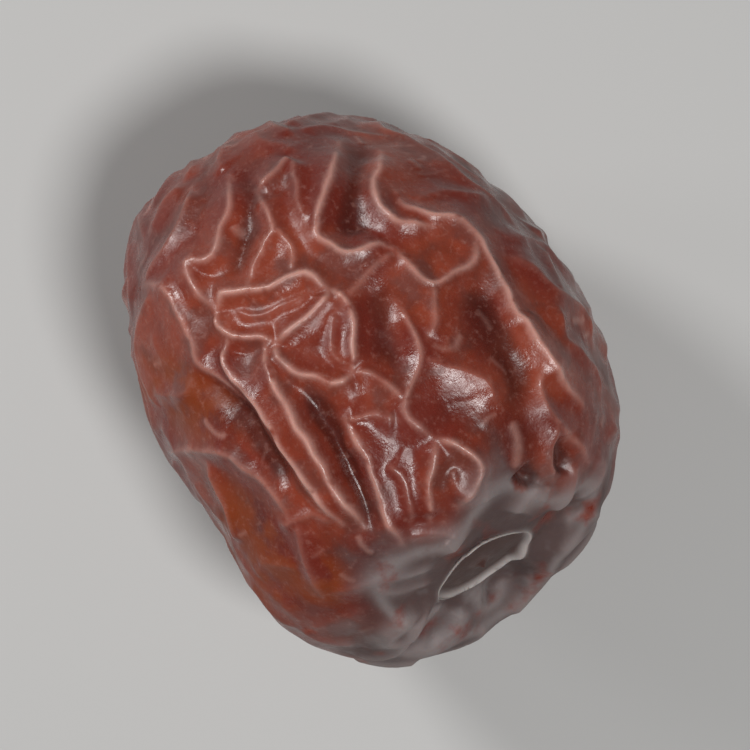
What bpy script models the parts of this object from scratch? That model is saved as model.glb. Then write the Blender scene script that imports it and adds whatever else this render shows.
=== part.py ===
"""A dried jujube, or red date, lying on its side: one solid fruit with its skin shrunk into folds.

Lengths are millimetres until the last step, which scales the finished mesh to metres. The fruit's own
axis is +X, from the tip to the stem end. It is shaped lying level, tilted so that the stem end looks
slightly up, and set down on a small flat spot at z = 0.
"""

import math
import random
from collections import namedtuple

import bmesh
import bpy
import numpy as np
from mathutils import Matrix, Vector, noise
from mathutils.bvhtree import BVHTree

MM = 0.001

# The smooth body under the folds
STEM_HALF = 12.9
TIP_HALF = 14.6
HALF_WIDTH = 10.75
HALF_HEIGHT = 10.2
STEM_SQUARENESS = 2.5
TIP_SQUARENESS = 2.15
BODY_TILT = math.radians(9)
STEM_SLANT = math.tan(math.radians(11))
BOW = 0.9
BOW_LENGTH = 12.0
# Bulges round the girth: how many go round, their share of the radius, and where the first one is
GIRTH_WAVES = [(2, 0.014, 0.6), (3, 0.016, -1.1), (5, 0.008, 2.0)]
# One fuller shoulder at the stem end
SHOULDER_DIRECTION = (0.7, -0.7, 0.1)
SHOULDER_HEIGHT = 0.07
SHOULDER_SPREAD = 0.12

# The hollow round the stem scar, the scar's ring and the stub of its bundle
SCAR_RISE = 2.2
SCAR_FLATTENING = 0.88
HOLLOW_RADIUS = 6.2
HOLLOW_WALL = 3.3
HOLLOW_DEPTH = 1.25
HOLLOW_LEAN = 0.16
HOLLOW_WAVES = [(5, 0.13, 0.7), (3, 0.07, -0.4)]
SCAR_WAVES = [(2, 0.04, 0.0), (3, 0.02, 1.0)]
RING_RADIUS = 2.55
RING_HEIGHT = 0.2
RING_HALF_WIDTH = 0.17
SCAR_DEPTH = 0.25
STUB_RADIUS = 0.32
STUB_HEIGHT = 0.3

# The dimple at the tip
DIMPLE_RADIUS = 1.7
DIMPLE_DEPTH = 0.7

# The plan that the folds on the upper side are drawn on, seen from above: u to the right and v down,
# in quarter millimetres
PLAN_UNIT = 0.25
PLAN_CENTRE = (56, 61)
STEM_BEARING = math.radians(56.6)

# The height that the plan is dropped from, and the distance between the points of a drawn fold
ABOVE = 50.0
PATH_SPACING = 1.6

# The folds that grow over the sides and the underside
SEED = 7
GROWN_FOLDS = 150
TRIES_PER_FOLD = 12
STEP = 0.55
TURN_MEMORY = 0.72
TURN_SPREAD = 0.19
FOLD_SPACING = 1.25
MEET_GAP = 0.5
ARM_LENGTHS = (1.0, 6.5)
SHORTEST_TRAIL = 4
LENGTHWISE_SPREAD = 0.5
WIDEST_SWING = 1.5
GROWN_HEIGHTS = (0.22, 0.44)
GROWN_FLANKS = (0.34, 0.55)
LEANS = (-0.5, 0.5)
BARE_STEM_RADIUS = 6.4
BARE_TIP_RADIUS = 1.8

# On the drawn side, where the surface looks up more than this, fewer and lower folds grow
DRAWN_SLOPE = 0.5
FILL_SPACING = 1.9
FILL_HEIGHTS = (0.16, 0.34)

# The puckers that run out from the hollow over the shoulder
PUCKERS = 19
PUCKER_STARTS = (3.4, 5.0)
PUCKER_LENGTHS = (3.0, 7.5)
PUCKER_HEIGHTS = (0.22, 0.4)
PUCKER_FLANKS = (0.34, 0.5)
PUCKER_SHIFT = 0.3

# A crest has a sharp ridge on a broad base, both measured in flanks
SHARPEST_CREST = 0.06
RIDGE_SHARE = 0.58
BASE_FLANKS = 2.6
FOLD_REACH = 5.5
LEAN_EFFECT = 0.45
END_HEIGHT = 0.35
END_FADES = 6
SWELL_FADES = 5
SWELL_REACH = 3
CREST_BLEND = 2.6
MEAN_RELIEF = 0.26

# Soft dents as heights and cycles a millimetre, and how far the folds stray from smooth lines
DENTS = [(0.32, 0.19), (0.12, 0.45)]
WOBBLE = 0.16
WOBBLE_CYCLES = 0.9
# Where the three noises that shift the folds along x, y and z start
WOBBLE_STARTS = [Vector((0, 0, 0)), Vector((31.7, 12.4, 5.1)), Vector((8.3, 47.9, 22.6))]

FLAT_SPOT_DEPTH = 0.45
FLAT_SPOT_REACH = 4.6
FLAT_SPOT_FADE = 2.0
GUIDE_LEVELS = 6
SKIN_LEVELS = 7
TRIANGLES = 10800

AXIS = Vector((math.cos(BODY_TILT), 0, math.sin(BODY_TILT)))

Stroke = namedtuple("Stroke", "height flank lean path")

# Height and flank in millimetres, lean from -1 to 1 for the steeper side, then points on the plan
DRAWN_CRESTS = [
    # the bean-shaped pocket
    (0.72, 0.40, 0.2, [(25, 47), (27, 44), (32, 43), (36, 43), (39, 41), (43, 40), (46, 42), (47, 43)]),
    (0.70, 0.38, -0.2, [(47, 43), (46, 46), (43, 49), (40, 51), (37, 53)]),
    (0.66, 0.38, 0.0, [(25, 47), (26, 50), (29, 52), (33, 52), (37, 53)]),
    (0.34, 0.24, 0.0, [(28, 47), (32, 48), (37, 47), (41, 45), (44, 43)]),
    # the three-cornered pocket beside it
    (0.70, 0.40, 0.3, [(47, 43), (50, 45), (52, 50), (52, 55), (52, 59)]),
    (0.68, 0.38, 0.0, [(37, 53), (38, 56), (42, 59), (47, 61), (50, 61), (52, 59)]),
    (0.36, 0.30, 0.4, [(49, 47), (48, 51), (48, 55), (51, 58)]),
    # the pair of long folds
    (0.86, 0.40, 0.5, [(28, 52), (27, 56), (29, 60), (33, 64), (37, 69), (40, 75), (45, 82), (50, 88)]),
    (0.86, 0.40, -0.5, [(35, 53), (36, 58), (40, 65), (44, 72), (49, 81), (54, 89)]),
    # small cell above the bean
    (0.58, 0.38, 0.0, [(32, 42), (33, 37), (36, 32), (36, 29), (34, 25), (33, 23)]),
    (0.50, 0.34, 0.0, [(36, 31), (40, 35), (40, 40)]),
    (0.55, 0.38, 0.2, [(33, 23), (37, 20), (40, 17)]),
    (0.45, 0.45, 0.4, [(40, 17), (41, 24), (43, 31)]),
    # hooked fold near the top
    (0.68, 0.44, -0.3, [(49, 13), (48, 20), (46, 27), (45, 32), (48, 35), (52, 36), (57, 34), (60, 35)]),
    # long curved fold down the right side
    (0.70, 0.44, 0.3, [(58, 15), (56, 22), (57, 27), (60, 30), (64, 31), (67, 31)]),
    (0.74, 0.48, 0.4, [(60, 24), (62, 27), (66, 29), (71, 30), (75, 33), (78, 38), (81, 43), (84, 49),
                       (88, 56), (92, 61), (96, 65)]),
    (0.62, 0.40, 0.0, [(60, 35), (63, 39), (67, 42), (71, 40), (75, 38), (75, 33)]),
    (0.46, 0.40, 0.2, [(60, 35), (56, 39), (53, 42), (50, 45)]),
    (0.48, 0.50, -0.3, [(67, 42), (68, 48), (66, 52)]),
    # ridges over the middle
    (0.56, 0.50, 0.3, [(60, 45), (63, 50), (65, 56), (63, 61), (62, 66), (65, 70), (68, 72)]),
    (0.54, 0.42, 0.0, [(52, 59), (57, 60), (62, 65)]),
    (0.40, 0.42, 0.0, [(65, 56), (71, 58), (77, 60), (80, 66)]),
    (0.62, 0.36, 0.2, [(68, 72), (67, 77), (66, 81), (67, 88)]),
    (0.66, 0.36, -0.2, [(68, 72), (72, 73), (76, 77), (74, 82), (72, 85)]),
    (0.32, 0.30, 0.0, [(71, 77), (72, 81), (74, 84)]),
    (0.66, 0.42, 0.2, [(50, 68), (54, 74), (56, 80), (58, 86), (61, 92)]),
    (0.50, 0.42, 0.0, [(50, 68), (55, 67), (61, 68)]),
    (0.44, 0.44, 0.0, [(58, 76), (62, 80), (63, 88)]),
    # folds and facets on the left side
    (0.60, 0.50, -0.3, [(27, 20), (28, 25), (26, 31), (25, 36), (20, 38), (22, 43), (25, 47)]),
    (0.56, 0.50, -0.4, [(10, 42), (15, 42), (18, 47), (21, 53), (22, 57), (27, 61), (31, 64)]),
    (0.44, 0.42, 0.0, [(20, 22), (18, 29), (14, 36), (10, 42)]),
    (0.54, 0.42, 0.2, [(11, 68), (15, 74), (20, 74), (26, 74), (31, 77), (37, 82), (40, 88)]),
    (0.44, 0.38, 0.0, [(23, 76), (25, 81), (27, 86), (29, 93)]),
    (0.42, 0.38, 0.0, [(37, 89), (41, 87), (45, 86), (49, 88)]),
    (0.42, 0.38, 0.0, [(41, 87), (43, 95), (46, 103)]),
    # towards the stem end on the right
    (0.50, 0.42, 0.3, [(88, 56), (88, 64), (91, 69), (95, 73), (98, 76)]),
    (0.46, 0.34, 0.0, [(91, 69), (90, 75), (91, 80)]),
    (0.42, 0.48, 0.3, [(80, 36), (86, 39), (90, 43), (97, 47), (100, 53)]),
]

# Broad swellings between the crests
DRAWN_SWELLS = [
    (0.34, 0.90, 0.0, [(31, 57), (36, 64), (42, 72), (47, 80), (52, 87)]),
    (0.34, 1.40, 0.0, [(72, 22), (80, 31), (88, 41), (95, 52)]),
    (0.30, 1.60, 0.0, [(16, 62), (24, 68), (30, 72)]),
    (0.30, 1.30, 0.0, [(84, 47), (88, 54), (92, 60)]),
]

# Valleys where the skin is drawn in
DRAWN_GROOVES = [
    (0.40, 0.70, 0.0, [(21, 58), (27, 63), (32, 68), (36, 75), (40, 82)]),
    (0.40, 0.65, 0.0, [(41, 60), (46, 68), (50, 75), (54, 83), (57, 90)]),
    (0.22, 1.10, 0.0, [(32, 18), (31, 26), (31, 33), (29, 42)]),
    (0.24, 1.20, 0.0, [(53, 12), (53, 20), (52, 27), (51, 34)]),
    (0.24, 1.00, 0.0, [(76, 40), (80, 48), (84, 57), (88, 66)]),
    (0.16, 1.10, 0.0, [(55, 40), (56, 47), (57, 54), (60, 61)]),
    # the small pits by the stem end
    (0.35, 0.60, 0.0, [(92, 71), (93, 76), (92, 79)]),
    (0.60, 0.40, 0.0, [(84, 78), (86, 80), (88, 81)]),
]


def clear_scene():
    for thing in list(bpy.data.objects):
        bpy.data.objects.remove(thing)


def smooth_step(value):
    share = np.clip(value, 0.0, 1.0)
    return share * share * (3 - 2 * share)


def sphere_mesh(levels):
    """A bmesh sphere of radius 1 whose vertices stand for directions from the fruit's centre."""
    sphere = bmesh.new()
    bmesh.ops.create_icosphere(sphere, subdivisions=levels, radius=1.0)
    return sphere


def waved(angle, waves):
    """A radius of 1 with bulges round it."""
    return 1 + sum(share * np.cos(count * angle + turn) for count, share, turn in waves)


def barrel(directions):
    """The rounded barrel, with a blunt stem end, a rounder tip and one fuller shoulder."""
    along = directions[:, 0]
    angle = np.arctan2(directions[:, 2], directions[:, 1])
    lobes = waved(angle, GIRTH_WAVES)
    half_length = np.where(along > 0, STEM_HALF, TIP_HALF)
    power = np.where(along > 0, STEM_SQUARENESS, TIP_SQUARENESS)
    across = np.hypot(directions[:, 1] / HALF_WIDTH, directions[:, 2] / HALF_HEIGHT) / lobes
    reach = (np.abs(along / half_length) ** power + across**power) ** (-1 / power)
    away = 1 - directions @ np.array(Vector(SHOULDER_DIRECTION).normalized())
    reach *= 1 + SHOULDER_HEIGHT * np.exp(-away / SHOULDER_SPREAD)
    return directions * reach[:, None]


def stem_relief(across, angle):
    """How deep the stem end lies under the barrel: the lobed hollow, and the ring and stub in it."""
    hollow = smooth_step((HOLLOW_RADIUS * waved(angle, HOLLOW_WAVES) - across) / HOLLOW_WALL)
    hollow *= HOLLOW_DEPTH - HOLLOW_LEAN * across * np.sin(angle)
    oval = across / waved(angle, SCAR_WAVES)
    inside = SCAR_DEPTH * smooth_step((RING_RADIUS - oval) / (2 * RING_HALF_WIDTH) + 0.5)
    ring = RING_HEIGHT * np.exp(-(((oval - RING_RADIUS) / RING_HALF_WIDTH) ** 2))
    stub = STUB_HEIGHT * np.exp(-((across / STUB_RADIUS) ** 2))
    return hollow + inside - ring - stub


def body_points(directions):
    """The smooth fruit, tilted as it lies, one point for each unit direction."""
    points = barrel(directions)
    from_scar = (points[:, 1:] - (0.0, SCAR_RISE)) / (1.0, SCAR_FLATTENING)
    hollow = stem_relief(np.hypot(*from_scar.T), np.arctan2(from_scar[:, 1], from_scar[:, 0]))
    dimple = DIMPLE_DEPTH * np.exp(-((np.hypot(points[:, 1], points[:, 2]) / DIMPLE_RADIUS) ** 2))
    stem_share = smooth_step(points[:, 0] / STEM_HALF)
    points[:, 0] -= STEM_SLANT * points[:, 2] * stem_share
    points[:, 0] += np.where(directions[:, 0] > 0, -hollow, dimple)
    points[:, 1] += BOW * (1 / 3 - (points[:, 0] / BOW_LENGTH) ** 2)
    lean = Matrix.Rotation(-BODY_TILT, 3, "Y")
    return points @ np.array(lean).T


def shaped_body(levels):
    """The smooth fruit as a bmesh, with its points and outward normals as arrays."""
    body = sphere_mesh(levels)
    directions = np.array([v.co.normalized() for v in body.verts])
    points = body_points(directions)
    for vertex, point in zip(body.verts, points):
        vertex.co = point
    body.normal_update()
    normals = np.array([v.normal for v in body.verts])
    return body, points, normals


def rounded_path(points):
    """Points close together on a Catmull-Rom curve through the given ones."""
    corners = [Vector(p) for p in points]
    corners = [2 * corners[0] - corners[1], *corners, 2 * corners[-1] - corners[-2]]
    path = []
    for before, start, end, after in zip(corners, corners[1:], corners[2:], corners[3:]):
        pieces = max(1, round((end - start).length / PATH_SPACING))
        for i in range(pieces):
            t = i / pieces
            path.append(
                0.5 * (2 * start + (end - before) * t + (2 * before - 5 * start + 4 * end - after) * t**2
                       + (3 * start - before - 3 * end + after) * t**3)
            )
    return [*path, corners[-2]]


def from_plan(point):
    """Where a point of the plan is in the fruit's frame, seen from above."""
    right = (point[0] - PLAN_CENTRE[0]) * PLAN_UNIT
    down = (point[1] - PLAN_CENTRE[1]) * PLAN_UNIT
    x = right * math.cos(STEM_BEARING) + down * math.sin(STEM_BEARING)
    y = right * math.sin(STEM_BEARING) - down * math.cos(STEM_BEARING)
    return x, y


def drawn_strokes(drawings, surface):
    """Strokes drawn on the plan, dropped from above on to the fruit."""
    strokes = []
    for height, flank, lean, plan in drawings:
        path = []
        for point in rounded_path([Vector((u, v)) for u, v in plan]):
            x, y = from_plan(point)
            hit = surface.ray_cast(Vector((x, y, ABOVE)), Vector((0, 0, -1)))[0]
            if hit is not None:
                path.append(hit)
        if len(path) > 1:
            strokes.append(Stroke(height, flank, lean, np.array(path)))
    return strokes


def is_bare(point):
    """Where no fold grows: the hollow at the stem end and the very tip."""
    along = point.dot(AXIS)
    off_axis = (point - along * AXIS).length
    return off_axis < (BARE_STEM_RADIUS if along > 0 else BARE_TIP_RADIUS)


class Ground:
    """The points of every fold so far, to keep new folds clear of them."""

    def __init__(self, paths):
        self.points = np.concatenate(paths)

    def add(self, path):
        self.points = np.concatenate([self.points, path])

    def gap(self, point):
        return math.sqrt(((self.points - np.array(point)) ** 2).sum(axis=1).min())


def walk(start, heading, surface, ground, longest, draw):
    """One arm of a growing fold: it wanders over the surface until it meets another or runs out."""
    trail = [start]
    point, turn, gone = start, 0.0, 0.0
    starts_bare = is_bare(start)
    while gone < longest:
        turn = TURN_MEMORY * turn + draw.gauss(0, TURN_SPREAD)
        normal = surface.find_nearest(point)[1]
        heading = (Matrix.Rotation(turn, 3, normal) @ heading).normalized()
        point, normal = surface.find_nearest(point + heading * STEP)[:2]
        heading = (heading - heading.dot(normal) * normal).normalized()
        trail.append(point)
        gone += STEP
        if ground.gap(point) < MEET_GAP or (is_bare(point) and not starts_bare):
            break
    return trail


def pucker_strokes(surface, ground):
    """Low folds that run out from the hollow over the shoulder, all round the stem end."""
    draw = random.Random(SEED + 1)
    tilt = Matrix.Rotation(-BODY_TILT, 3, "Y")
    strokes = []
    for i in range(PUCKERS):
        angle = math.tau * (i + draw.uniform(-PUCKER_SHIFT, PUCKER_SHIFT)) / PUCKERS
        outward = tilt @ Vector((0, math.cos(angle), math.sin(angle)))
        middle = AXIS * ABOVE + tilt @ Vector((0, 0, SCAR_RISE))
        start = surface.ray_cast(middle + outward * draw.uniform(*PUCKER_STARTS), -AXIS)[0]
        trail = np.array(walk(start, outward, surface, ground, draw.uniform(*PUCKER_LENGTHS), draw))
        ground.add(trail)
        height, flank = draw.uniform(*PUCKER_HEIGHTS), draw.uniform(*PUCKER_FLANKS)
        strokes.append(Stroke(height, flank, draw.uniform(*LEANS), trail))
    return strokes


def grown_strokes(surface, points, normals, ground):
    """Folds that start at random and run roughly along the fruit, fewer and lower on the drawn side."""
    draw = random.Random(SEED)
    strokes = []
    for attempt in range(GROWN_FOLDS * TRIES_PER_FOLD):
        if len(strokes) >= GROWN_FOLDS:
            break
        pick = draw.randrange(len(points))
        start, normal = Vector(points[pick]), Vector(normals[pick])
        is_drawn_side = normal.z > DRAWN_SLOPE
        if is_bare(start) or ground.gap(start) < (FILL_SPACING if is_drawn_side else FOLD_SPACING):
            continue
        is_early = attempt < GROWN_FOLDS * TRIES_PER_FOLD / 4
        swing = draw.gauss(0, LENGTHWISE_SPREAD) if is_early else draw.uniform(-WIDEST_SWING, WIDEST_SWING)
        heading = Matrix.Rotation(swing, 3, normal) @ (AXIS - AXIS.dot(normal) * normal).normalized()
        longest = draw.uniform(*ARM_LENGTHS)
        forward = walk(start, heading, surface, ground, longest, draw)
        back = walk(start, -heading, surface, ground, longest, draw)
        trail = np.array([*reversed(back[1:]), *forward])
        if len(trail) < SHORTEST_TRAIL:
            continue
        ground.add(trail)
        height = draw.uniform(*(FILL_HEIGHTS if is_drawn_side else GROWN_HEIGHTS))
        strokes.append(Stroke(height, draw.uniform(*GROWN_FLANKS), draw.uniform(*LEANS), trail))
    return strokes


def near_path(points, normals, path, reach):
    """For the points within reach of a path: their indices, their distance to it, the side of it that
    they are on as -1 to 1, and their share of the way along it."""
    low, high = path.min(axis=0) - reach, path.max(axis=0) + reach
    index = np.flatnonzero(((points > low) & (points < high)).all(axis=1))
    close, facing = points[index], normals[index]
    best = np.full(len(index), np.inf)
    side = np.zeros(len(index))
    share = np.zeros(len(index))
    last = len(path) - 1
    for i in range(last):
        start, span = path[i], path[i + 1] - path[i]
        offset = close - start
        t = np.clip(offset @ span / max(span @ span, 1e-12), 0, 1)
        gap = offset - t[:, None] * span
        distance = np.sqrt((gap**2).sum(axis=1))
        closer = distance < best
        best[closer] = distance[closer]
        left = np.cross(facing[closer], span / np.linalg.norm(span))
        side[closer] = (gap[closer] * left).sum(axis=1) / np.maximum(distance[closer], 1e-9)
        share[closer] = (i + t[closer]) / last
    inside = best < reach
    return index[inside], best[inside], side[inside], share[inside]


def crest_relief(points, normals, strokes):
    """How high the crests stand: each is a ridge on a broad base, steeper on the side it leans to, and
    where several meet the sum is blended."""
    total = np.zeros(len(points))
    for stroke in strokes:
        index, distance, side, share = near_path(points, normals, stroke.path, FOLD_REACH * stroke.flank)
        flank = stroke.flank * (1 + LEAN_EFFECT * stroke.lean * side)
        rounded = np.sqrt(distance**2 + SHARPEST_CREST**2) - SHARPEST_CREST
        fade = END_HEIGHT + (1 - END_HEIGHT) * smooth_step(np.minimum(share, 1 - share) * END_FADES)
        ridge = RIDGE_SHARE * np.exp(-rounded / flank)
        base = (1 - RIDGE_SHARE) * np.exp(-((distance / (BASE_FLANKS * flank)) ** 2))
        total[index] += (stroke.height * fade * (ridge + base)) ** CREST_BLEND
    return total ** (1 / CREST_BLEND)


def broad_relief(points, normals, strokes):
    """Rounded humps, or dips, of the strokes' height and half-width."""
    total = np.zeros(len(points))
    for stroke in strokes:
        index, distance, _, share = near_path(points, normals, stroke.path, SWELL_REACH * stroke.flank)
        fade = smooth_step(np.minimum(share, 1 - share) * SWELL_FADES)
        hump = stroke.height * fade * np.exp(-((distance / stroke.flank) ** 2))
        total[index] = np.maximum(total[index], hump)
    return total


def unevenness(points):
    """Soft dents and bumps of the dried flesh, in millimetres."""
    total = np.zeros(len(points))
    for height, cycles in DENTS:
        total += height * np.array([noise.noise(Vector(point) * cycles) for point in points])
    return total


def wobbled(points):
    """The points moved a little sideways, so that the folds through them aren't drawn too smoothly."""
    places = [Vector(point) * WOBBLE_CYCLES for point in points]
    shift = np.array([[noise.noise(place + start) for start in WOBBLE_STARTS] for place in places])
    return points + WOBBLE * shift


def flat_spot_share(points, normals):
    """1 at the lowest point of the smooth fruit, where folds are pressed out, and 0 beyond the flat spot."""
    lowest = points[np.argmin(points[:, 2])]
    off_centre = np.hypot(points[:, 0] - lowest[0], points[:, 1] - lowest[1])
    return np.where(normals[:, 2] < 0, smooth_step((FLAT_SPOT_REACH - off_centre) / FLAT_SPOT_FADE), 0.0)


def raise_skin(body, points, normals, crests, swells, grooves):
    """Moves the body's vertices out along their normals by the folds' relief."""
    queries = wobbled(points)
    relief = crest_relief(queries, normals, crests) - MEAN_RELIEF
    relief += broad_relief(queries, normals, swells)
    relief -= broad_relief(queries, normals, grooves)
    relief += unevenness(points)
    relief *= 1 - flat_spot_share(points, normals)
    for vertex, point in zip(body.verts, points + normals * relief[:, None]):
        vertex.co = point


def press_flat_spot(body):
    """Levels the underside where the fruit rests, and puts that level at z = 0."""
    floor = min(v.co.z for v in body.verts) + FLAT_SPOT_DEPTH
    for vertex in body.verts:
        vertex.co.z = max(vertex.co.z, floor) - floor


def skin_material():
    material = bpy.data.materials.new("dried_skin")
    material.use_nodes = True
    shader = material.node_tree.nodes["Principled BSDF"]
    shader.inputs["Base Color"].default_value = (0.16, 0.035, 0.022, 1)
    shader.inputs["Roughness"].default_value = 0.42
    shader.inputs["Metallic"].default_value = 0.0
    return material


def decimated(mesh):
    """The mesh with about TRIANGLES triangles, fewer where the skin is smooth."""
    helper = bpy.data.objects.new("fine_skin", mesh)
    bpy.context.scene.collection.objects.link(helper)
    thin = helper.modifiers.new("thin_out", "DECIMATE")
    thin.ratio = TRIANGLES / len(mesh.polygons)
    graph = bpy.context.evaluated_depsgraph_get()
    result = bpy.data.meshes.new_from_object(helper.evaluated_get(graph))
    bpy.data.objects.remove(helper)
    return result


def centred(mesh):
    """Puts the origin under the middle of the mesh's box, and scales millimetres to metres."""
    points = np.array([v.co for v in mesh.vertices])
    low, high = points.min(axis=0), points.max(axis=0)
    middle = Vector(((low[0] + high[0]) / 2, (low[1] + high[1]) / 2, low[2]))
    mesh.transform(Matrix.Scale(MM, 4) @ Matrix.Translation(-middle))


def make_jujube():
    guide, guide_points, guide_normals = shaped_body(GUIDE_LEVELS)
    surface = BVHTree.FromBMesh(guide)
    guide.free()
    crests = drawn_strokes(DRAWN_CRESTS, surface)
    ground = Ground([stroke.path for stroke in crests])
    crests += pucker_strokes(surface, ground)
    crests += grown_strokes(surface, guide_points, guide_normals, ground)
    swells = drawn_strokes(DRAWN_SWELLS, surface)
    grooves = drawn_strokes(DRAWN_GROOVES, surface)

    skin, points, normals = shaped_body(SKIN_LEVELS)
    raise_skin(skin, points, normals, crests, swells, grooves)
    press_flat_spot(skin)
    mesh = bpy.data.meshes.new("fine_skin")
    skin.to_mesh(mesh)
    skin.free()

    mesh = decimated(mesh)
    centred(mesh)
    mesh.name = "jujube"
    mesh.shade_smooth()
    mesh.materials.append(skin_material())
    return bpy.data.objects.new("jujube", mesh)


def main():
    clear_scene()
    collection = bpy.data.collections.new("dried_jujube")
    bpy.context.scene.collection.children.link(collection)
    collection.objects.link(make_jujube())


if __name__ == "__main__":
    main()
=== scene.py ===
"""The looks of a dried jujube: fine wrinkled skin over the CAD solid, pale floor, studio light and camera.

The skin is shaped by the same strokes and functions as the CAD solid, in millimetres, on a finer mesh
with finer wrinkles added. It is then fitted to the CAD box and scaled to metres.
"""

import math
import random
from collections import namedtuple

import bmesh
import bpy
import numpy as np
from mathutils import Matrix, Vector, noise
from mathutils.bvhtree import BVHTree


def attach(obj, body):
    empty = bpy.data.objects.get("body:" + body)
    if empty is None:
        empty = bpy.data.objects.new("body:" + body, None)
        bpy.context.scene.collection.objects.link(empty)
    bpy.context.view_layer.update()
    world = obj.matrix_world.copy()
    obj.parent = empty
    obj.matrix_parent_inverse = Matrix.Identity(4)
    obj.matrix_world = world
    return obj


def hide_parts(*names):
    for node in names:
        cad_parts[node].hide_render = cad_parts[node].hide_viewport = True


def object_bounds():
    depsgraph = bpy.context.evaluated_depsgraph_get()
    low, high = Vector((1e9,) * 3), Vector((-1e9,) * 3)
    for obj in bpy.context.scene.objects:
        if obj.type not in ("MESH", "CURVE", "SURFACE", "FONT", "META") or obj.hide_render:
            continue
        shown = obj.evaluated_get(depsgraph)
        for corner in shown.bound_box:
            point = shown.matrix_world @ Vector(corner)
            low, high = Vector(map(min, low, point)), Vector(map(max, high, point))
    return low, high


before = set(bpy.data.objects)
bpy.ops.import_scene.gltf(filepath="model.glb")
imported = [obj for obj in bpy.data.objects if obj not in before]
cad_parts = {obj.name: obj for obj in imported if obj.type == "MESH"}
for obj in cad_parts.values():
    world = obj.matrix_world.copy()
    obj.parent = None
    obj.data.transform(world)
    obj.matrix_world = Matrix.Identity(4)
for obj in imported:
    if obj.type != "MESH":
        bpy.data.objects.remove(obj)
cad_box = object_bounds()

MM = 0.001

# The smooth body under the folds
STEM_HALF = 12.9
TIP_HALF = 14.6
HALF_WIDTH = 10.75
HALF_HEIGHT = 10.2
STEM_SQUARENESS = 2.5
TIP_SQUARENESS = 2.15
BODY_TILT = math.radians(9)
STEM_SLANT = math.tan(math.radians(11))
BOW = 0.9
BOW_LENGTH = 12.0
# Bulges round the girth: how many go round, their share of the radius, and where the first one is
GIRTH_WAVES = [(2, 0.014, 0.6), (3, 0.016, -1.1), (5, 0.008, 2.0)]
# One fuller shoulder at the stem end
SHOULDER_DIRECTION = (0.7, -0.7, 0.1)
SHOULDER_HEIGHT = 0.07
SHOULDER_SPREAD = 0.12

# The hollow round the stem scar, the scar's ring and the stub of its bundle
SCAR_RISE = 2.2
SCAR_FLATTENING = 0.88
HOLLOW_RADIUS = 6.2
HOLLOW_WALL = 3.3
HOLLOW_DEPTH = 1.25
HOLLOW_LEAN = 0.16
HOLLOW_WAVES = [(5, 0.13, 0.7), (3, 0.07, -0.4)]
SCAR_WAVES = [(2, 0.04, 0.0), (3, 0.02, 1.0)]
RING_RADIUS = 2.55
RING_HEIGHT = 0.2
RING_HALF_WIDTH = 0.17
SCAR_DEPTH = 0.25
STUB_RADIUS = 0.32
STUB_HEIGHT = 0.3

# The dimple at the tip
DIMPLE_RADIUS = 1.7
DIMPLE_DEPTH = 0.7

# The plan that the folds on the upper side are drawn on, seen from above: u to the right and v down,
# in quarter millimetres
PLAN_UNIT = 0.25
PLAN_CENTRE = (56, 61)
STEM_BEARING = math.radians(56.6)

# The height that the plan is dropped from, and the distance between the points of a drawn fold
ABOVE = 50.0
PATH_SPACING = 1.6

# The folds that grow over the sides and the underside
SEED = 7
GROWN_FOLDS = 150
TRIES_PER_FOLD = 12
EARLY_SHARE = 0.25
STEP = 0.55
TURN_MEMORY = 0.72
TURN_SPREAD = 0.19
FOLD_SPACING = 1.25
MEET_GAP = 0.5
ARM_LENGTHS = (1.0, 6.5)
SHORTEST_TRAIL = 4
LENGTHWISE_SPREAD = 0.5
WIDEST_SWING = 1.5
GROWN_HEIGHTS = (0.22, 0.44)
GROWN_FLANKS = (0.34, 0.55)
LEANS = (-0.5, 0.5)
BARE_STEM_RADIUS = 6.4
BARE_TIP_RADIUS = 1.8

# On the drawn side, where the surface looks up more than this, fewer and lower folds grow
DRAWN_SLOPE = 0.5
FILL_SPACING = 1.9
FILL_HEIGHTS = (0.16, 0.34)

# The puckers that run out from the hollow over the shoulder
PUCKERS = 19
PUCKER_STARTS = (3.4, 5.0)
PUCKER_LENGTHS = (3.0, 7.5)
PUCKER_HEIGHTS = (0.22, 0.4)
PUCKER_FLANKS = (0.34, 0.5)
PUCKER_SHIFT = 0.3

# A crest has a sharp ridge on a broad base, both measured in flanks
SHARPEST_CREST = 0.06
RIDGE_SHARE = 0.58
BASE_FLANKS = 2.6
FOLD_REACH = 5.5
LEAN_EFFECT = 0.45
END_HEIGHT = 0.35
END_FADES = 6
SWELL_FADES = 5
SWELL_REACH = 3
CREST_BLEND = 2.6
MEAN_RELIEF = 0.26

# Soft dents as heights and cycles a millimetre, and how far the folds stray from smooth lines
DENTS = [(0.32, 0.19), (0.12, 0.45)]
WOBBLE = 0.16
WOBBLE_CYCLES = 0.9
# Where the three noises that shift the folds along x, y and z start
WOBBLE_STARTS = [Vector((0, 0, 0)), Vector((31.7, 12.4, 5.1)), Vector((8.3, 47.9, 22.6))]

FLAT_SPOT_DEPTH = 0.45
FLAT_SPOT_REACH = 4.6
FLAT_SPOT_FADE = 2.0
GUIDE_LEVELS = 6

AXIS = Vector((math.cos(BODY_TILT), 0, math.sin(BODY_TILT)))

# The fine skin
SKIN_LEVELS = 8
TRIANGLES = 190000
FINE_SEED = 21
FINE_FOLDS = 700
TRIES_PER_FINE_FOLD = 6
SHORTEST_FINE_TRAIL = 3
FINE_SPACING = 0.7
CELL_SPACING = 1.15
FINE_LENGTHS = (0.8, 3.2)
FINE_HEIGHTS = (0.04, 0.12)
FINE_FLANKS = (0.16, 0.32)

# The light line along a crest, partly the crest's paler worn skin and partly painted highlight
LINE_HALF_WIDTH = 0.16
LINE_REACH = 3
LINE_END_STRENGTH = 0.3
FULL_LINE_HEIGHT = 0.72
LINE_CONTRAST = 3

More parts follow.
